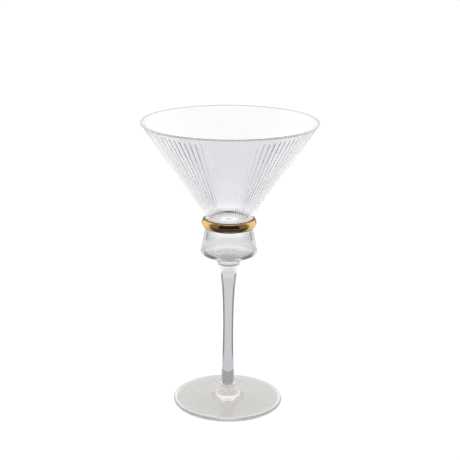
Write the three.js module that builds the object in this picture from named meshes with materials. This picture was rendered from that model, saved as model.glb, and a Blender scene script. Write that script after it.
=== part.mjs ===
// A stemmed martini glass: a conical bowl, smooth outside and ribbed inside, a hollow lower cup
// joined mouth-up beneath it, a gold ring over that seam, a drawn stem and a round foot.
// Millimetres, +Z up. The origin is the centre of the circle that the foot rests on.

import * as THREE from 'three';

// ---- Driving dimensions -------------------------------------------------------------

const HEIGHT = 200;              // table to rim
const RIM_RADIUS = 59.5;         // outermost circle of the rounded lip
const CONE_ANGLE = 34.15;        // degrees between the cone's side and its axis
const WALL = 1.1;                // thickness of the cone's wall, and of its lip
const NECK_RADIUS = 16.3;        // neck inside the gold ring
const BOWL_FLOOR = 133;          // inside bottom of the drinking bowl

const FLUTES = 92;               // fine ribs around the inside of the cone
const FLUTE_LOW = 137;           // they start at the corner of the bowl's floor
const FLUTE_HIGH = 196;          // and stop just under the lip
const FLUTE_FADE = 2;            // length over which a rib falls from its full depth to nothing
const FLUTE_DEPTH_RATIO = 0.0062; // rib depth as a share of the local radius

const SEAM = 130.5;              // bowl and lower cup meet here, inside the ring
const GAP = 0.3;                 // clearance between neighbouring pieces

const RING_LOW = 127.2;
const RING_HIGH = 133.8;
const RING_RADIUS = 18.65;

const CUP_RADIUS = 19.3;         // widest circle of the lower cup
const CUP_WIDEST = 110.6;        // height of that circle
const CUP_BOTTOM = 105.6;
const CUP_FLOOR = 107.2;         // inside bottom of its hollow
const CUP_MOUTH_RADIUS = 14.2;
const PLUG_DEPTH = 4.5;          // the bowl's solid bottom reaches this far down into the cup's mouth

const STEM_TOP_RADIUS = 8.5;
const STEM_WAIST_RADIUS = 3.56;
const STEM_WAIST = 56;           // height of the stem's thinnest circle
const STEM_BASE_RADIUS = 8.1;

const FOOT_RADIUS = 38;
const FOOT_EDGE = 2.8;           // thickness of the foot at its rounded edge
const FOOT_EDGE_ROUND = 1.2;     // how far the rounding reaches in from the edge
const FOOT_CROWN = 6;            // height of the foot's top at the stem
const REST_RADIUS = 29;          // inside of the flat ring that the foot stands on
const RECESS = 1.2;              // height of the shallow hollow under the foot

// ---- Materials ----------------------------------------------------------------------

function clearGlass(tint) {
  return new THREE.MeshStandardMaterial({
    color: tint, roughness: 0.03, metalness: 0, transparent: true, opacity: 0.35,
  });
}

function gold() {
  return new THREE.MeshStandardMaterial({ color: 0xd9a860, roughness: 0.18, metalness: 1 });
}

// ---- Profile helpers: a profile is a list of (radius, height) points ------------------

const point = (radius, height) => new THREE.Vector2(radius, height);

function smooth(points, steps) {
  return new THREE.SplineCurve(points).getPoints(steps);
}

// One point of an ellipse with its centre, its half-axes and an angle in degrees.
function onEllipse(centre, halfWidth, halfHeight, degrees) {
  const angle = THREE.MathUtils.degToRad(degrees);
  return point(centre.x + halfWidth * Math.cos(angle), centre.y + halfHeight * Math.sin(angle));
}

// The outer half of an ellipse, from its lowest point to its highest.
function outerHalf(centre, halfWidth, halfHeight, steps) {
  const points = [];
  for (let i = 0; i <= steps; i++) {
    points.push(onEllipse(centre, halfWidth, halfHeight, -90 + (180 * i) / steps));
  }
  return points;
}

// Turns a profile about the Z axis.
function turned(profile, segments) {
  const geometry = new THREE.LatheGeometry(profile, segments);
  geometry.rotateX(Math.PI / 2);
  return geometry;
}

function piece(name, geometry, material) {
  const mesh = new THREE.Mesh(geometry, material);
  mesh.name = name;
  return mesh;
}

// ---- Bowl: the cone, its ribbed inside and the neck that the ring goes round -----------

const CONE_SLOPE = Math.tan(THREE.MathUtils.degToRad(CONE_ANGLE));
const WALL_ACROSS = WALL / Math.cos(THREE.MathUtils.degToRad(CONE_ANGLE));
const LIP_CENTRE = point(RIM_RADIUS - WALL / 2, HEIGHT - WALL / 2);

// Outer radius of the cone at a height; its side is tangent to the lip.
function coneRadius(height) {
  return LIP_CENTRE.x + WALL_ACROSS / 2 - CONE_SLOPE * (LIP_CENTRE.y - height);
}

function innerRadius(height) {
  return coneRadius(height) - WALL_ACROSS;
}

function bowlProfile() {
  const underside = SEAM + GAP / 2;
  const neckTop = LIP_CENTRE.y - (LIP_CENTRE.x + WALL_ACROSS / 2 - NECK_RADIUS) / CONE_SLOPE;
  const lip = [-CONE_ANGLE, 0, 45, 90, 180 - CONE_ANGLE];
  const inner = [FLUTE_HIGH + FLUTE_FADE, FLUTE_HIGH, FLUTE_LOW];
  return [
    point(0, underside - PLUG_DEPTH),
    point(6, underside - PLUG_DEPTH - 0.1),
    point(11, underside - PLUG_DEPTH - 0.5),
    point(12.7, underside - PLUG_DEPTH * 0.7),
    point(CUP_MOUTH_RADIUS - GAP, underside),
    point(NECK_RADIUS, underside),
    point(NECK_RADIUS, neckTop),
    ...lip.map((degrees) => onEllipse(LIP_CENTRE, WALL / 2, WALL / 2, degrees)),
    ...inner.map((height) => point(innerRadius(height), height)),
    point(15, BOWL_FLOOR + 2.4),
    point(14.3, BOWL_FLOOR + 1.1),
    point(13, BOWL_FLOOR + 0.3),
    point(11, BOWL_FLOOR),
    point(0, BOWL_FLOOR),
  ];
}

// Moves the inner cone's meridians out and in by turns, which leaves a rib on every second one.
function pressFlutes(geometry) {
  const position = geometry.getAttribute('position');
  for (let i = 0; i < position.count; i++) {
    const x = position.getX(i);
    const y = position.getY(i);
    const z = position.getZ(i);
    const onInnerCone = Math.abs(Math.hypot(x, y) - innerRadius(z)) < WALL / 10;
    const betweenEnds = z > FLUTE_LOW - FLUTE_FADE / 2 && z < FLUTE_HIGH + FLUTE_FADE / 2;
    const meridian = Math.round((Math.atan2(y, x) / Math.PI) * FLUTES);
    if (onInnerCone && betweenEnds) {
      const scale = 1 + (meridian % 2 === 0 ? -0.5 : 0.5) * FLUTE_DEPTH_RATIO;
      position.setXYZ(i, x * scale, y * scale, z);
    }
  }
  geometry.computeVertexNormals();
  return geometry;
}

function bowl() {
  const geometry = pressFlutes(turned(bowlProfile(), FLUTES * 2));
  return piece('bowl', geometry, clearGlass(0xf4f5f8));
}

// ---- Gold ring: a half-round band around the seam --------------------------------------

function neckRing() {
  const inside = NECK_RADIUS + GAP;
  const middle = point(inside + GAP, (RING_LOW + RING_HIGH) / 2);
  const bulge = outerHalf(middle, RING_RADIUS - middle.x, (RING_HIGH - RING_LOW) / 2, 8);
  const start = point(inside, RING_LOW);
  return piece('neck_ring', turned([start, ...bulge, point(inside, RING_HIGH), start], 56), gold());
}

// ---- Lower cup: the hollow clear piece between the ring and the stem -------------------

function lowerCup() {
  const widest = point(CUP_RADIUS, CUP_WIDEST);
  const corner = smooth([point(17.7, 108.3), point(18.95, 109.4), widest], 3);
  const underside = [
    point(0, CUP_BOTTOM),
    point(STEM_TOP_RADIUS + GAP, CUP_BOTTOM),
    point(12, 106.5),
    point(15.5, 107.5),
    ...corner,
  ];
  const outside = smooth([
    widest,
    point(18.65, 113.6),
    point(17.75, 117.7),
    point(17, 121.9),
    point(16.45, 125),
    point(NECK_RADIUS, SEAM - GAP / 2),
  ], 7);
  const inside = smooth([
    point(CUP_MOUTH_RADIUS, SEAM - GAP / 2),
    point(14.6, 124),
    point(15.3, 119.5),
    point(16.4, 115.8),
    point(17.5, 112.8),
    point(17.6, 110.6),
    point(16.4, 108.9),
    point(13.5, 108),
    point(8, CUP_FLOOR + 0.15),
    point(0, CUP_FLOOR),
  ], 13);
  const profile = [...underside, ...outside.slice(1), ...inside];
  return piece('lower_cup', turned(profile, 48), clearGlass(0xf2f2f4));
}

// ---- Stem: drawn, with a waist and a flare at each end ---------------------------------

function stem() {
  const base = FOOT_CROWN + GAP;
  const top = CUP_BOTTOM - GAP;
  const side = smooth([
    point(STEM_BASE_RADIUS, base),
    point(6.6, 8.8),
    point(5.55, 12.6),
    point(4.9, 17.5),
    point(4.35, 24),
    point(3.95, 33),
    point(3.68, 43),
    point(STEM_WAIST_RADIUS, STEM_WAIST),
    point(3.75, 68.5),
    point(4.2, 80),
    point(5.05, 89),
    point(5.8, 94.7),
    point(7.2, 99),
    point(8.2, 101.6),
    point(STEM_TOP_RADIUS, 103.6),
    point(STEM_TOP_RADIUS, top),
  ], 24);
  return piece('stem', turned([point(0, base), ...side, point(0, top)], 28), clearGlass(0xf0f0f0));
}

// ---- Foot: a thin disc with a rounded edge, standing on a flat ring --------------------

function foot() {
  const edgeCentre = point(FOOT_RADIUS - FOOT_EDGE_ROUND, FOOT_EDGE / 2);
  const edge = outerHalf(edgeCentre, FOOT_EDGE_ROUND, FOOT_EDGE / 2, 6);
  const underside = [
    point(0, RECESS),
    point(REST_RADIUS * 0.45, RECESS * 0.8),
    point(REST_RADIUS * 0.8, RECESS * 0.3),
    point(REST_RADIUS, 0),
  ];
  const top = smooth([
    edge[edge.length - 1],
    point(30, 3.05),
    point(20, 3.4),
    point(13, 3.85),
    point(9.8, 4.6),
    point(STEM_BASE_RADIUS + GAP, FOOT_CROWN),
  ], 6);
  const profile = [...underside, ...edge, ...top.slice(1), point(0, FOOT_CROWN)];
  return piece('foot', turned(profile, 64), clearGlass(0xecebe8));
}

const glass = new THREE.Group();
glass.name = 'martini_glass';
glass.add(bowl(), neckRing(), lowerCup(), stem(), foot());

export default glass;
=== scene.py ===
# A ribbed martini glass with a gold neck ring, on a pale studio floor.
# The scene is in metres, +Z up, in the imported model's frame. Shapes are written in mm and scaled by MM.
import math
import random

import bmesh
import bpy
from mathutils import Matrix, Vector


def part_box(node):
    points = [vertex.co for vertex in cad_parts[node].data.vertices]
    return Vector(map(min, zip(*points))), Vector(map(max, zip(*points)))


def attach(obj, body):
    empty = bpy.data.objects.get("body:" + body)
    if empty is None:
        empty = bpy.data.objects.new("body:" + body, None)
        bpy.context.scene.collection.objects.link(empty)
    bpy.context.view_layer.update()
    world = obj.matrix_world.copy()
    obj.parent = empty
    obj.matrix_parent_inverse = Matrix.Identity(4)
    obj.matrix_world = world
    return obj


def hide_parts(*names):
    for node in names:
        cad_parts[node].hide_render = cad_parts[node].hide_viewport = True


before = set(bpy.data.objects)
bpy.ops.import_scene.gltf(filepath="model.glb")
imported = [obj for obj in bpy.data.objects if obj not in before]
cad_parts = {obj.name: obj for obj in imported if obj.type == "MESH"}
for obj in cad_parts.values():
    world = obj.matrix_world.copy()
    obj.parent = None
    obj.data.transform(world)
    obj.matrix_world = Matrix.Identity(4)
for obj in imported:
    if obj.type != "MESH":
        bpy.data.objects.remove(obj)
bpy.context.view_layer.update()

MM = 0.001

# ---- Sizes taken from the frame, in mm ------------------------------------------------


def box_in_mm(node):
    """The lowest and the highest (x, y, z) of a node's box."""
    return [[value / MM for value in corner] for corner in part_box(node)]


bowl_low, bowl_high = box_in_mm("bowl")
ring_low, ring_high = box_in_mm("neck_ring")
cup_low, cup_high = box_in_mm("lower_cup")
stem_low, stem_high = box_in_mm("stem")
_, foot_high = box_in_mm("foot")

RIM_RADIUS = bowl_high[0]
HEIGHT = bowl_high[2]
RING_RADIUS = ring_high[0]
RING_BOTTOM = ring_low[2]
RING_TOP = ring_high[2]
CUP_RADIUS = cup_high[0]
STEM_TOP_RADIUS = stem_high[0]
FOOT_RADIUS = foot_high[0]
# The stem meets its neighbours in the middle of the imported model's gaps.
CUP_BOTTOM = (cup_low[2] + stem_high[2]) / 2
FOOT_CROWN = (foot_high[2] + stem_low[2]) / 2
# Midway between the underside of the bowl's plug and the cup's mouth. That is 2.5 mm below the seam
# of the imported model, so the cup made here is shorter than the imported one. The gold ring hides it.
SEAM = (bowl_low[2] + cup_high[2]) / 2

# ---- Other sizes, in mm ---------------------------------------------------------------

NECK_RADIUS = 16.3
CONE_ANGLE = math.radians(34.15)
CONE_SLOPE = math.tan(CONE_ANGLE)
CONE_LOW = 138.5
CONE_HIGH = 198
WALL = 1.1
WALL_ACROSS = WALL / math.cos(CONE_ANGLE)
LIP_CENTRE = (RIM_RADIUS - WALL / 2, HEIGHT - WALL / 2)
BOWL_FLOOR = 133.0
PLUG_UNDERSIDE = 126.0   # at the axis
MOUTH_RADIUS = 14.2      # mouth of the lower cup's hollow

FLUTES = 92
FLUTE_DEPTH_RATIO = 0.009   # of the local radius, before each rib's own variation
FLUTE_VARIATION = (0.85, 1.15)
FLUTE_SEED = 11
FLUTE_LOW = 133.5
FLUTE_FULL_LOW = 136.0
FLUTE_FULL_HIGH = 195.0
FLUTE_HIGH = 198.5

RING_SQUARENESS = 1.85
RING_STEPS = 24
RING_CORE = 0.3             # the bulge starts this far outside the neck
RING_CLEARANCE = 0.02       # between the ring's back and the neck

FOOT_EDGE_CENTRE = (FOOT_RADIUS - 1.2, 1.4)
FOOT_EDGE_HALF_WIDTH = 1.2
FOOT_EDGE_HALF_HEIGHT = 1.4
STEM_BASE_RADIUS = 8.1

SEGMENTS_PER_FLUTE = 8
RING_SEGMENTS = 160
CUP_SEGMENTS = 128
STEM_SEGMENTS = 96
FOOT_SEGMENTS = 160
SHARP_ANGLE = math.radians(50)
ON_AXIS = 1e-6

# ---- Profiles: lists of (radius, height) points in mm ---------------------------------


def spline(points, steps):
    """Catmull-Rom curve through the points, with steps spans between neighbours."""
    ends = [points[0]] + list(points) + [points[-1]]
    out = []
    for i in range(1, len(ends) - 2):
        p0, p1, p2, p3 = [Vector(ends[k]) for k in (i - 1, i, i + 1, i + 2)]
        for s in range(steps):
            t = s / steps
            a = 2 * p1 + (p2 - p0) * t
            b = (2 * p0 - 5 * p1 + 4 * p2 - p3) * t * t
            c = (3 * p1 - p0 - 3 * p2 + p3) * t ** 3
            out.append(tuple((a + b + c) / 2))
    out.append(tuple(points[-1]))
    return out


def arc(centre, half_width, half_height, start, end, steps):
    """Points on an ellipse from one angle in degrees to another."""
    out = []
    for i in range(steps + 1):
        angle = math.radians(start + (end - start) * i / steps)
        out.append((centre[0] + half_width * math.cos(angle), centre[1] + half_height * math.sin(angle)))
    return out


def line(start, end, steps):
    return [(start[0] + (end[0] - start[0]) * i / steps, start[1] + (end[1] - start[1]) * i / steps)
            for i in range(steps + 1)]


def cone_radius(height):
    """Outer radius of the cone, whose side is tangent to the lip."""
    return LIP_CENTRE[0] + WALL_ACROSS / 2 - CONE_SLOPE * (LIP_CENTRE[1] - height)


def smooth_rise(value, low, high):
    """0 up to low, 1 from high on, with a soft start and end."""
    t = min(1.0, max(0.0, (value - low) / (high - low)))
    return t * t * (3 - 2 * t)


# ---- Mesh building --------------------------------------------------------------------


def row_of_vertices(builder, row, radius, height, segments, reshape):
    """One circle of a turned mesh, or its single vertex on the axis."""
    if radius < ON_AXIS:
        return [builder.verts.new((0, 0, height * MM))]
    circle = []
    for i in range(segments):
        angle = 2 * math.pi * i / segments
        r, z = reshape(angle, radius, height, row) if reshape else (radius, height)
        circle.append(builder.verts.new((r * math.sin(angle) * MM, -r * math.cos(angle) * MM, z * MM)))
    return circle


def turned(name, profile, segments, reshape=None, loop=False, joints=()):
    """A closed mesh turned about Z from a profile.

    reshape(angle, radius, height, row) returns the radius and height that a point really has.
    joints holds the rows whose faces get the second material.
    """
    builder = bmesh.new()
    rows = [row_of_vertices(builder, row, radius, height, segments, reshape)
            for row, (radius, height) in enumerate(profile)]
    pairs = list(zip(rows, rows[1:]))
    if loop:
        pairs.append((rows[-1], rows[0]))
    for row, (low, high) in enumerate(pairs):
        for i in range(segments):
            j = (i + 1) % segments
            if len(low) == 1:
                face = builder.faces.new((low[0], high[j], high[i]))
            elif len(high) == 1:
                face = builder.faces.new((low[i], low[j], high[0]))
            else:
                face = builder.faces.new((low[i], low[j], high[j], high[i]))
            face.material_index = 1 if row in joints else 0
    bmesh.ops.recalc_face_normals(builder, faces=builder.faces)
    mesh = bpy.data.meshes.new(name)
    builder.to_mesh(mesh)
    builder.free()
    mesh.polygons.foreach_set("use_smooth", [True] * len(mesh.polygons))
    mesh.set_sharp_from_angle(angle=SHARP_ANGLE)
    piece = bpy.data.objects.new(name, mesh)
    bpy.context.scene.collection.objects.link(piece)
    return piece


# ---- Pieces ---------------------------------------------------------------------------


def bowl_inside():
    """The inside of the cone from the lip down, then the shallow saucer that it ends in."""
    heights = [198.5, 197.8, 197.1, 196.4, 195.7, 195, 190, 185, 180, 175, 170, 165, 160, 155, 150, 145,
               142, 140, 138, 137]
    cone = [(cone_radius(height) - WALL_ACROSS, height) for height in heights]
    rises = [(15.0, 2.4), (14.3, 1.1), (13.0, 0.3), (11.0, 0.05), (8.0, 0.0), (4.0, 0.0), (0.0, 0.0)]
    saucer = [(radius, BOWL_FLOOR + rise) for radius, rise in rises]
    return cone + spline([cone[-1]] + saucer, 6)[1:]


def bowl_underside():
    """The plug's underside, from the axis out to the seam."""
    return spline([(0, PLUG_UNDERSIDE), (6, PLUG_UNDERSIDE - 0.1), (11, PLUG_UNDERSIDE - 0.5),
                   (MOUTH_RADIUS, SEAM)], 4)


def bowl_neck():
    """The neck behind the ring, and the small bend where it runs into the cone."""
    top = LIP_CENTRE[1] - (LIP_CENTRE[0] + WALL_ACROSS / 2 - NECK_RADIUS) / CONE_SLOPE
    bend_start = (NECK_RADIUS, top - 0.8)
    bend = spline([bend_start, (NECK_RADIUS + 0.15, top + 0.2), (cone_radius(top + 1.2), top + 1.2)], 3)
    return [(NECK_RADIUS, SEAM), bend_start] + bend[1:]


def make_bowl():
    """The cone is smooth outside; its fine ribs are on the inside, as an optic mould leaves them."""
    lean = math.degrees(CONE_ANGLE)
    side = line((cone_radius(CONE_LOW), CONE_LOW), (cone_radius(CONE_HIGH), CONE_HIGH), 10)
    lip = arc(LIP_CENTRE, WALL / 2, WALL / 2, -lean, 180 - lean, 10)
    underside = bowl_underside()
    outside = underside + bowl_neck() + side + lip[1:-1]
    dice = random.Random(FLUTE_SEED)
    depth = [FLUTE_DEPTH_RATIO * dice.uniform(*FLUTE_VARIATION) for _ in range(FLUTES)]

    def flute(angle, radius, height, row):
        if row < len(outside):
            return radius, height
        turn = angle / (2 * math.pi) * FLUTES
        share = smooth_rise(height, FLUTE_LOW, FLUTE_FULL_LOW)
        share *= 1 - smooth_rise(height, FLUTE_FULL_HIGH, FLUTE_HIGH)
        valley = (1 - math.cos(2 * math.pi * turn)) / 2
        return radius * (1 + depth[int(turn) % FLUTES] * (valley - 0.5) * share), height

    return turned("bowl_glass", outside + bowl_inside(), FLUTES * SEGMENTS_PER_FLUTE, flute,
                  joints=(len(underside) - 1,))


def make_ring():
    """A pinched half-round band; the face against the glass closes the loop."""
    middle = (NECK_RADIUS + RING_CORE, (RING_BOTTOM + RING_TOP) / 2)
    half_height = (RING_TOP - RING_BOTTOM) / 2
    bulge = []
    for i in range(RING_STEPS + 1):
        angle = math.radians(-90 + 180 * i / RING_STEPS)
        out = math.cos(angle) ** (2 / RING_SQUARENESS)
        up = math.copysign(abs(math.sin(angle)) ** (2 / RING_SQUARENESS), math.sin(angle))
        bulge.append((middle[0] + (RING_RADIUS - middle[0]) * max(0, out), middle[1] + half_height * up))
    back = NECK_RADIUS + RING_CLEARANCE
    profile = [(back, RING_BOTTOM)] + bulge + [(back, RING_TOP)]
    return turned("gold_ring", profile, RING_SEGMENTS, loop=True, joints=(len(profile) - 1,))


def make_cup():
    widest = (CUP_RADIUS, CUP_BOTTOM + 5.0)
    corner = spline([(15.5, CUP_BOTTOM + 1.9), (17.7, CUP_BOTTOM + 2.7), (18.95, CUP_BOTTOM + 3.8),
                     widest], 5)
    outside = spline([widest, (18.65, 113.6), (17.75, 117.7), (17.0, 121.9), (16.45, 125),
                      (NECK_RADIUS, SEAM)], 5)
    inside = spline([(MOUTH_RADIUS, SEAM), (14.6, 124), (15.3, 119.5), (16.4, 115.8), (17.5, 112.8),
                     (17.6, 110.6), (16.4, 108.9), (13.5, 108.0), (8.0, 107.35), (0.0, 107.2)], 6)
    body = [(0, CUP_BOTTOM), (STEM_TOP_RADIUS, CUP_BOTTOM), (12, CUP_BOTTOM + 0.9)] + corner + outside[1:]
    return turned("lower_cup_glass", body + inside, CUP_SEGMENTS, joints=(0, len(body) - 1))


def make_stem():
    side = spline([(STEM_BASE_RADIUS, FOOT_CROWN), (6.6, 8.8), (5.55, 12.6), (4.9, 17.5), (4.35, 24),
                   (3.95, 33), (3.68, 43), (3.56, 56), (3.75, 68.5), (4.2, 80), (5.05, 89), (5.8, 94.7),
                   (7.2, 99), (8.2, 101.6), (STEM_TOP_RADIUS, 103.6), (STEM_TOP_RADIUS, CUP_BOTTOM)], 6)
    profile = [(0, FOOT_CROWN)] + side + [(0, CUP_BOTTOM)]
    return turned("stem_glass", profile, STEM_SEGMENTS, joints=(0, len(side)))


def make_foot():
    edge = arc(FOOT_EDGE_CENTRE, FOOT_EDGE_HALF_WIDTH, FOOT_EDGE_HALF_HEIGHT, -90, 90, 14)
    underside = spline([(0, 1.2), (13, 1.0), (23, 0.4), (29, 0)], 5)
    top = spline([edge[-1], (30, 3.05), (20, 3.4), (13, 3.85), (9.8, 4.6),
                  (STEM_BASE_RADIUS, FOOT_CROWN)], 8)
    body = underside + edge + top[1:]
    return turned("foot_glass", body + [(0, FOOT_CROWN)], FOOT_SEGMENTS, joints=(len(body) - 1,))


# ---- Shader nodes ---------------------------------------------------------------------


class Graph:
    """Adds nodes to a tree. Arguments are numbers, colours or node outputs; calls return outputs."""

    def __init__(self, tree):
        self.nodes = tree.nodes
        self.links = tree.links

    def feed(self, socket, value):
        if isinstance(value, bpy.types.NodeSocket):
            self.links.new(value, socket)
        else:
            socket.default_value = value

    def math(self, operation, *values):
        node = self.nodes.new("ShaderNodeMath")
        node.operation = operation
        for socket, value in zip(node.inputs, values):
            self.feed(socket, value)
        return node.outputs[0]

    def times(self, a, b):
        return self.math("MULTIPLY", a, b)

    def minus(self, a, b):
        return self.math("SUBTRACT", a, b)

    def band(self, value, centre, half_width, soft):
        """1 within half_width of centre, falling smoothly to 0 over soft."""
        fall = self.nodes.new("ShaderNodeMapRange")
        fall.interpolation_type = "SMOOTHSTEP"
        fall.inputs["From Min"].default_value = half_width
        fall.inputs["From Max"].default_value = half_width + soft
        fall.inputs["To Min"].default_value = 1.0
        fall.inputs["To Max"].default_value = 0.0
        self.feed(fall.inputs["Value"], self.math("ABSOLUTE", self.minus(value, centre)))
        return fall.outputs["Result"]

    def blend(self, factor, a, b):
        """A number between a and b."""
        node = self.nodes.new("ShaderNodeMix")
        for name, value in (("Factor", factor), ("A", a), ("B", b)):
            self.feed(node.inputs[name], value)
        return node.outputs["Result"]

    def blend_colours(self, factor, a, b, blend_type="MIX"):
        node = self.nodes.new("ShaderNodeMix")
        node.data_type = "RGBA"
        node.blend_type = blend_type
        for socket, value in ((node.inputs["Factor"], factor), (node.inputs[6], a), (node.inputs[7], b)):
            self.feed(socket, value)
        return node.outputs[2]

    def colour_by(self, value, stops):
        """A colour that follows stops: (mm, colour) pairs, lowest first, for a value in metres."""
        low, high = stops[0][0], stops[-1][0]
        share = self.nodes.new("ShaderNodeMapRange")
        share.inputs["From Min"].default_value = low * MM
        share.inputs["From Max"].default_value = high * MM
        self.feed(share.inputs["Value"], value)
        ramp = self.nodes.new("ShaderNodeValToRGB")
        elements = ramp.color_ramp.elements
        for i, (level, colour) in enumerate(stops):
            position = (level - low) / (high - low)
            element = elements[i] if i < 2 else elements.new(position)
            element.position = position
            element.color = (*colour, 1)
        self.feed(ramp.inputs["Fac"], share.outputs["Result"])
        return ramp.outputs["Color"]

    def noise(self, position, scale, detail):
        node = self.nodes.new("ShaderNodeTexNoise")
        node.inputs["Scale"].default_value = scale
        node.inputs["Detail"].default_value = detail
        self.feed(node.inputs["Vector"], position)
        return node.outputs["Fac"]

    def position(self, output="Object"):
        return self.nodes.new("ShaderNodeTexCoord").outputs[output]

    def split(self, vector):
        """The x, y and z of a vector."""
        node = self.nodes.new("ShaderNodeSeparateXYZ")
        self.feed(node.inputs[0], vector)
        return node.outputs

    def from_axis(self, x, y):
        return self.math("SQRT", self.math("ADD", self.times(x, x), self.times(y, y)))

    def turn_from_backdrop(self, x, y):
        """Degrees round from +Y, 0 to 180, the same to both sides."""
        return self.times(self.math("ABSOLUTE", self.math("ARCTAN2", x, y)), 180 / math.pi)

    def mirrored(self, path):
        """1 for a ray that has just been reflected, 0 for one that has come through glass."""
        return self.times(path.outputs["Is Glossy Ray"],
                          self.minus(1.0, path.outputs["Is Transmission Ray"]))


# ---- Materials ------------------------------------------------------------------------

# Tones are (mm, colour) stops: by height, or on the foot by distance from the axis. Besides the glass's
# tint they hold painted light and shade.
# An edge is (tone, sharpness): a painted outline, the colour turning towards the tone where the surface
# turns away from the view.
# Waves are (scale, strength, stretch of the pattern).
# The brown, pale and dark colours here are painted reflection, light and shade on the gold ring; the gold
# colour is the ring's own.
BROWN_PAINTED_SHADE = (0.10, 0.05, 0.03)
GOLD = (0.77, 0.49, 0.2)
PALE_PAINTED_LIGHT = (0.92, 0.85, 0.75)
DARK_PAINTED_SHADE = (0.05, 0.025, 0.015)
# The brown bands at the ring's top and bottom are painted dark reflection; the gold between them is the
# band's own colour.
GOLD_WITH_PAINTED_EDGE_SHADE = ((127.2, BROWN_PAINTED_SHADE), (128.0, BROWN_PAINTED_SHADE), (128.8, GOLD), (133.2, GOLD), (133.6, BROWN_PAINTED_SHADE), (133.8, BROWN_PAINTED_SHADE))
# Painted light and shade on the ring's back, seen through the neck: the pale band is painted light, and
# the brown line and the dark band above it are painted shade.
BACK_PAINTED_LIGHT_AND_SHADE = ((127.2, BROWN_PAINTED_SHADE), (127.9, PALE_PAINTED_LIGHT), (131.8, PALE_PAINTED_LIGHT), (132.2, DARK_PAINTED_SHADE), (133.8, DARK_PAINTED_SHADE))
GOLD_UNEVEN = (0.82, 0.8, 0.76)
GOLD_PATCH_SCALE = 140
GOLD_PATCH_DETAIL = 3.0
GOLD_PATCH_SHARE = 0.5
GOLD_ROUGHNESS = 0.05
GOLD_HAZE = 0.1
BACK_ROUGHNESS = 0.35

# The bowl's tint, by height, holds painted shade: untinted at the neck, a grey through the cone that
# partly stands in for shade, and a painted dark line at the lip.
BOWL_TINT_WITH_PAINTED_SHADE = ((130, (1, 1, 1)), (136.5, (1, 1, 1)), (141, (0.82, 0.825, 0.84)), (194, (0.82, 0.825, 0.84)),
              (199.2, (0.82, 0.82, 0.83)), (199.6, (0.42, 0.39, 0.39)), (200, (0.42, 0.39, 0.39)))
BOWL_PAINTED_OUTLINE = (1.0, 2)
BOWL_WAVES = (60, 0.05, (1, 1, 0.3))
# The cup's tint holds painted shade: greyer towards the bottom.
CUP_TINT_WITH_PAINTED_SHADE = ((105, (0.78, 0.78, 0.79)), (109, (0.82, 0.82, 0.83)), (113, (0.86, 0.86, 0.87)),
             (122, (0.9, 0.9, 0.91)), (127, (1, 1, 1)), (131, (1, 1, 1)))
CUP_PAINTED_OUTLINE = (0.0, 1.8)
CUP_WAVES = (60, 0.05, (1, 1, 0.5))
# The stem's tint holds painted light and shade: a grey that partly stands in for shade, a painted dark
# line near the top where it meets the cup, and a lighter painted band above it.
STEM_TINT_WITH_PAINTED_LIGHT_AND_SHADE = ((5, (0.62, 0.6, 0.59)), (16, (0.62, 0.6, 0.59)), (24, (0.57, 0.57, 0.62)),
              (56, (0.61, 0.61, 0.65)), (80, (0.62, 0.62, 0.65)), (92, (0.6, 0.6, 0.61)),
              (101, (0.58, 0.58, 0.58)), (101.6, (0.15, 0.15, 0.15)), (102.4, (0.15, 0.15, 0.15)),
              (103, (0.75, 0.75, 0.75)), (106, (0.75, 0.75, 0.75)))
STEM_PAINTED_OUTLINE = (0.7, 2.5)
STEM_WAVES = (80, 0.05, (1, 1, 0.1))
# The foot's tint, by distance from the axis, holds painted light and shade: grey for the shaded floor seen
# through it, a painted bright line just inside the rim and a painted dark line at the rim.
FOOT_TINT_WITH_PAINTED_LIGHT_AND_SHADE = ((0, (0.53, 0.515, 0.505)), (10, (0.53, 0.515, 0.505)), (24, (0.52, 0.515, 0.505)),
              (35.5, (0.54, 0.54, 0.525)), (36.1, (0.85, 0.85, 0.85)), (36.9, (0.85, 0.85, 0.85)),
              (37.3, (0.35, 0.35, 0.35)), (38, (0.35, 0.35, 0.35)))
FOOT_PAINTED_OUTLINE = (1.0, 8)
FOOT_WAVES = (60, 0.05, (1, 1, 1))
WAVE_DETAIL = 1.0
GLASS_IOR = 1.5


def new_material(name):
    """A node material: itself, its graph and its Principled shader."""
    material = bpy.data.materials.new(name)
    material.use_nodes = True
    return material, Graph(material.node_tree), material.node_tree.nodes["Principled BSDF"]


def emptied(datablock):
    """The graph of a material or world, with its ready-made nodes taken out."""
    datablock.use_nodes = True
    datablock.node_tree.nodes.clear()
    return Graph(datablock.node_tree)


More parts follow.
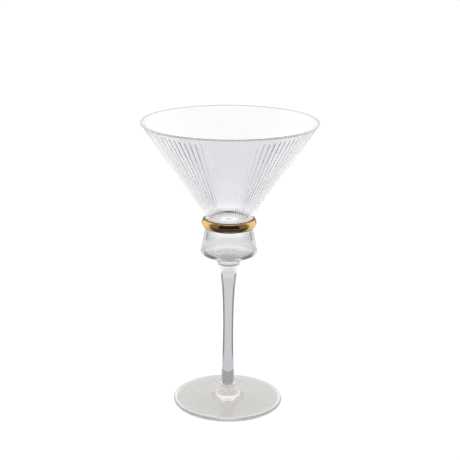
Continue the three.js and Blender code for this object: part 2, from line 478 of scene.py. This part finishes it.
def clear_glass(name, tint_and_painted_tones, edge, waves, outward=False):
    """Polished clear glass with the slight waviness of blown work, and painted light and shade in its tint
    and outline.
    """
    material, graph, shader = new_material(name)
    shader.inputs["Roughness"].default_value = 0.0
    shader.inputs["IOR"].default_value = GLASS_IOR
    shader.inputs["Transmission Weight"].default_value = 1.0
    position = graph.position()
    x, y, z = graph.split(position)
    # The tint carries painted light and shade, by height or by distance from the axis.
    tone = graph.colour_by(graph.from_axis(x, y) if outward else z, tint_and_painted_tones)
    # Painted outline: a darker or lighter colour where the surface turns away from the view, standing in
    # for light and shade at the glass's edges.
    facing = graph.nodes.new("ShaderNodeLayerWeight")
    facing.inputs["Blend"].default_value = 0.5
    painted_outline_tone, sharpness = edge
    share = graph.math("POWER", facing.outputs["Facing"], sharpness)
    graph.feed(shader.inputs["Base Color"],
               graph.blend_colours(share, tone, (painted_outline_tone, painted_outline_tone, painted_outline_tone, 1)))
    scale, strength, stretch = waves
    mapping = graph.nodes.new("ShaderNodeMapping")
    mapping.inputs["Scale"].default_value = stretch
    graph.feed(mapping.inputs["Vector"], position)
    bump = graph.nodes.new("ShaderNodeBump")
    bump.inputs["Strength"].default_value = strength
    bump.inputs["Distance"].default_value = MM
    graph.feed(bump.inputs["Height"], graph.noise(mapping.outputs["Vector"], scale, WAVE_DETAIL))
    graph.feed(shader.inputs["Normal"], bump.outputs["Normal"])
    return material


def fused_joint():
    """Where two pieces are fused the glass runs on without a surface, so nothing shows."""
    material = bpy.data.materials.new("fused_joint")
    graph = emptied(material)
    through = graph.nodes.new("ShaderNodeBsdfTransparent")
    out = graph.nodes.new("ShaderNodeOutputMaterial")
    graph.feed(out.inputs["Surface"], through.outputs["BSDF"])
    return material


def gold_material():
    """Polished gold with brown edges of painted dark reflection, a slightly uneven tone and the faint haze
    of handling.
    """
    material, graph, shader = new_material("gold")
    shader.inputs["Metallic"].default_value = 1.0
    position = graph.position()
    # Gold by height, with painted dark reflection in brown at the top and bottom edges.
    tone = graph.colour_by(graph.split(position)[2], GOLD_WITH_PAINTED_EDGE_SHADE)
    patches = graph.noise(position, GOLD_PATCH_SCALE, GOLD_PATCH_DETAIL)
    share = graph.times(patches, GOLD_PATCH_SHARE)
    graph.feed(shader.inputs["Base Color"],
               graph.blend_colours(share, tone, (*GOLD_UNEVEN, 1), "MULTIPLY"))
    graph.feed(shader.inputs["Roughness"], graph.math("MULTIPLY_ADD", patches, GOLD_HAZE, GOLD_ROUGHNESS))
    return material


def gold_back():
    """The side of the gold band against the glass, painted by height with light and shade: a pale painted
    light band, a brown painted shade line below it and a dark painted shade band above.
    """
    material, graph, shader = new_material("gold_back")
    shader.inputs["Metallic"].default_value = 1.0
    shader.inputs["Roughness"].default_value = BACK_ROUGHNESS
    graph.feed(shader.inputs["Base Color"],
               graph.colour_by(graph.split(graph.position())[2], BACK_PAINTED_LIGHT_AND_SHADE))
    return material


# ---- Stage ----------------------------------------------------------------------------

# The camera sees the floor and the room plain white. Rays that have come through glass or been
# mirrored see darker bands instead. The bands stand at fixed directions, chosen for the view from -Y.
# A band is (centre, half width, soft edge) in degrees, round from the backdrop or up from level.
WINGS = (76, 36, 10)
WINGS_UP = (-50, 44, 8)
WING_DEPTH = 0.78
CAMERA_SIDE = (180, 40, 15)
CAMERA_SIDE_UP = (-30, 32, 10)
CAMERA_SIDE_DEPTH = 0.55
SKY = (32, 22, 8)
SKY_EXTRA = 0.4
# These are seen only by mirrored rays.
FRONT = (180, 80, 22)
FRONT_UP = (0, 50, 12)
FRONT_DEPTH = 0.93
SIDES = (24, 12, 6)
SIDES_DEPTH = 0.6
CARD_ACROSS = (180, 42, 6)
CARD_UP = (18, 28, 4)
CARD_COLOUR = (0.008, 0.02, 0.06)

FLOOR_LEVEL = 1.05
FLOOR_WARMTH = (1.0, 0.99, 0.97)
FLOOR_RADIUS = 0.45             # metres, like the next line
FLOOR_NEAR = (0, 0.05, 0.03)    # no band reaches the floor this close to the axis
FLOOR_DROP = 0.3                # mm below the foot
ROOM_LEVEL = 1.18
ROOM_DARKEST = 0.02
SEEN_LEVEL = 1.05               # what the camera sees of floor and room


def floor_material():
    material = bpy.data.materials.new("floor")
    graph = emptied(material)
    path = graph.nodes.new("ShaderNodeLightPath")
    x, y, _ = graph.split(graph.position())
    turn = graph.turn_from_backdrop(x, y)
    wings = graph.times(graph.band(turn, *WINGS), WING_DEPTH)
    behind = graph.times(graph.band(turn, *CAMERA_SIDE), CAMERA_SIDE_DEPTH)
    through = graph.math("MAXIMUM", wings, behind)
    front = graph.times(graph.band(turn, *FRONT), FRONT_DEPTH)
    shade = graph.blend(graph.mirrored(path), through, front)
    far = graph.minus(1.0, graph.band(graph.from_axis(x, y), *FLOOR_NEAR))
    level = graph.minus(FLOOR_LEVEL, graph.times(graph.times(shade, far), FLOOR_LEVEL))
    tone = graph.nodes.new("ShaderNodeCombineColor")
    for channel, warmth in zip(tone.inputs, FLOOR_WARMTH):
        graph.feed(channel, graph.times(level, warmth))
    pale = graph.nodes.new("ShaderNodeEmission")
    graph.feed(pale.inputs["Color"], tone.outputs["Color"])
    seen = graph.nodes.new("ShaderNodeEmission")
    out = graph.nodes.new("ShaderNodeOutputMaterial")
    finish_stage(graph, path, pale, seen, out)
    return material


def finish_stage(graph, path, hidden, seen, out):
    """Shows the white shader to the camera and the other one to every other ray."""
    seen.inputs["Color"].default_value = (1, 1, 1, 1)
    seen.inputs["Strength"].default_value = SEEN_LEVEL
    mix = graph.nodes.new("ShaderNodeMixShader")
    graph.feed(mix.inputs["Fac"], path.outputs["Is Camera Ray"])
    graph.feed(mix.inputs[1], hidden.outputs[0])
    graph.feed(mix.inputs[2], seen.outputs[0])
    graph.feed(out.inputs["Surface"], mix.outputs["Shader"])


def make_floor():
    builder = bmesh.new()
    bmesh.ops.create_circle(builder, cap_ends=True, radius=FLOOR_RADIUS, segments=96)
    mesh = bpy.data.meshes.new("floor")
    builder.to_mesh(mesh)
    builder.free()
    mesh.materials.append(floor_material())
    floor = bpy.data.objects.new("floor", mesh)
    bpy.context.scene.collection.objects.link(floor)
    floor.location.z = -FLOOR_DROP * MM


def make_studio():
    world = bpy.data.worlds.new("studio")
    bpy.context.scene.world = world
    graph = emptied(world)
    path = graph.nodes.new("ShaderNodeLightPath")
    x, y, z = graph.split(graph.position("Generated"))
    turn = graph.turn_from_backdrop(x, y)
    rise = graph.times(graph.math("ARCSINE", z), 180 / math.pi)
    mirrored = graph.mirrored(path)

    wings = graph.times(graph.band(turn, *WINGS), graph.band(rise, *WINGS_UP))
    behind = graph.times(graph.band(turn, *CAMERA_SIDE), graph.band(rise, *CAMERA_SIDE_UP))
    sky = graph.times(graph.band(rise, *SKY), SKY_EXTRA)
    through = graph.minus(ROOM_LEVEL, graph.times(wings, WING_DEPTH))
    through = graph.math("ADD", through, sky)
    through = graph.minus(through, graph.times(behind, CAMERA_SIDE_DEPTH))

    level_part = graph.band(rise, *FRONT_UP)
    front = graph.times(graph.band(turn, *FRONT), level_part)
    sides = graph.times(graph.band(turn, *SIDES), level_part)
    reflected = graph.minus(ROOM_LEVEL, graph.times(front, FRONT_DEPTH))
    reflected = graph.minus(reflected, graph.times(sides, SIDES_DEPTH))

    level = graph.math("MAXIMUM", graph.blend(mirrored, through, reflected), ROOM_DARKEST)
    card = graph.times(graph.band(turn, *CARD_ACROSS), graph.band(rise, *CARD_UP))
    tone = graph.blend_colours(graph.times(card, mirrored), level, (*CARD_COLOUR, 1))
    studio = graph.nodes.new("ShaderNodeBackground")
    graph.feed(studio.inputs["Color"], tone)
    seen = graph.nodes.new("ShaderNodeBackground")
    out = graph.nodes.new("ShaderNodeOutputWorld")
    finish_stage(graph, path, studio, seen, out)


FRAME_SIZE = 460                        # the photograph's width and height
FOCAL_LENGTH = 1200 / FRAME_SIZE        # in frame widths
SENSOR_WIDTH = 36
CAMERA_PLACE = (0, -0.782, 0.355)       # metres
CAMERA_DOWN = 0.2864                    # radians below level
CAMERA_ROLL = -0.003
CAMERA_TURN = 0.02105
CAMERA_SHIFT = 24.2 / FRAME_SIZE        # in frame widths


def make_camera():
    data = bpy.data.cameras.new("camera")
    camera = bpy.data.objects.new("camera", data)
    bpy.context.scene.collection.objects.link(camera)
    bpy.context.scene.camera = camera
    camera.location = CAMERA_PLACE
    camera.rotation_euler = (math.pi / 2 - CAMERA_DOWN, CAMERA_ROLL, CAMERA_TURN)
    data.sensor_width = SENSOR_WIDTH
    data.lens = FOCAL_LENGTH * SENSOR_WIDTH
    data.shift_x = CAMERA_SHIFT
    data.clip_start = 0.01
    data.clip_end = 20


# ---- Assembly -------------------------------------------------------------------------

# Few bounces leave black lines where light runs on inside the rim and the foot.
BOUNCES = 100
TRANSPARENT_BOUNCES = 32

make_camera()
make_studio()
make_floor()

bowl = make_bowl()
ring = make_ring()
cup = make_cup()
stem = make_stem()
foot = make_foot()

joint = fused_joint()
for piece, node, slot, surface, second in (
        (bowl, "bowl", "bowl_glass", clear_glass("bowl_clear", BOWL_TINT_WITH_PAINTED_SHADE, BOWL_PAINTED_OUTLINE, BOWL_WAVES), joint),
        (ring, "neck_ring", "gold", gold_material(), gold_back()),
        (cup, "lower_cup", "clear_glass", clear_glass("cup_clear", CUP_TINT_WITH_PAINTED_SHADE, CUP_PAINTED_OUTLINE, CUP_WAVES), joint),
        (stem, "stem", "clear_glass", clear_glass("stem_clear", STEM_TINT_WITH_PAINTED_LIGHT_AND_SHADE, STEM_PAINTED_OUTLINE, STEM_WAVES), joint),
        (foot, "foot", "clear_glass",
         clear_glass("foot_clear", FOOT_TINT_WITH_PAINTED_LIGHT_AND_SHADE, FOOT_PAINTED_OUTLINE, FOOT_WAVES, outward=True), joint)):
    piece.data.materials.append(surface)
    piece.data.materials.append(second)
    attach(piece, "root")
    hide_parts(node)

scene = bpy.context.scene
scene.view_settings.view_transform = "Standard"
scene.cycles.max_bounces = BOUNCES
scene.cycles.transmission_bounces = BOUNCES
scene.cycles.glossy_bounces = BOUNCES
scene.cycles.transparent_max_bounces = TRANSPARENT_BOUNCES
scene.cycles.denoising_input_passes = "RGB"
